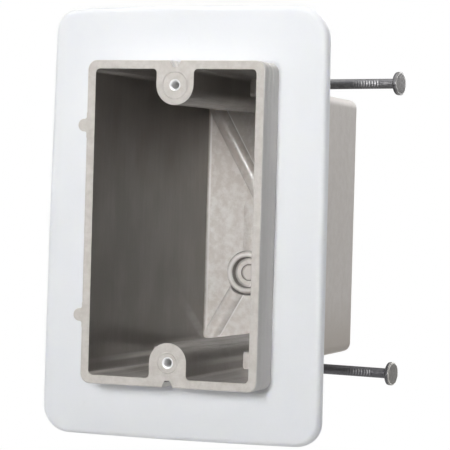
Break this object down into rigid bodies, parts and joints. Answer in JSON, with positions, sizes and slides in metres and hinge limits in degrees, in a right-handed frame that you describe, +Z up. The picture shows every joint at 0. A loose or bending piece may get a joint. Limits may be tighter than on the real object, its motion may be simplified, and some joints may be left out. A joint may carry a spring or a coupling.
{
  "type": "new work outlet box",
  "caption": "Deep moulded single-gang wall box with screw bosses, a soft draft-seal flange round its rim and side nails for fixing to a stud.",
  "frame": {"origin": "centre of the rim's front face, midway between the two device screw holes", "axes": "+X across the wall towards the nail heads, away from the stud; +Y into the wall, from the rim to the back; +Z up"},
  "size_m": [0.1016, 0.0953, 0.1329],
  "materials": {
    "moulded_body": "warm light grey moulded fibreglass, matt on cut faces, satin on drawn faces",
    "seal": "soft white, satin",
    "nail_steel": "plain drawn steel, grey",
    "insert_metal": "bright plated"
  },
  "bodies": {
    "root": {"outlet_box": "moulded_body", "draft_seal_flange": "seal", "upper_nail": "nail_steel", "lower_nail": "nail_steel", "upper_screw_insert": "insert_metal", "lower_screw_insert": "insert_metal"}
  },
  "joints": []
}
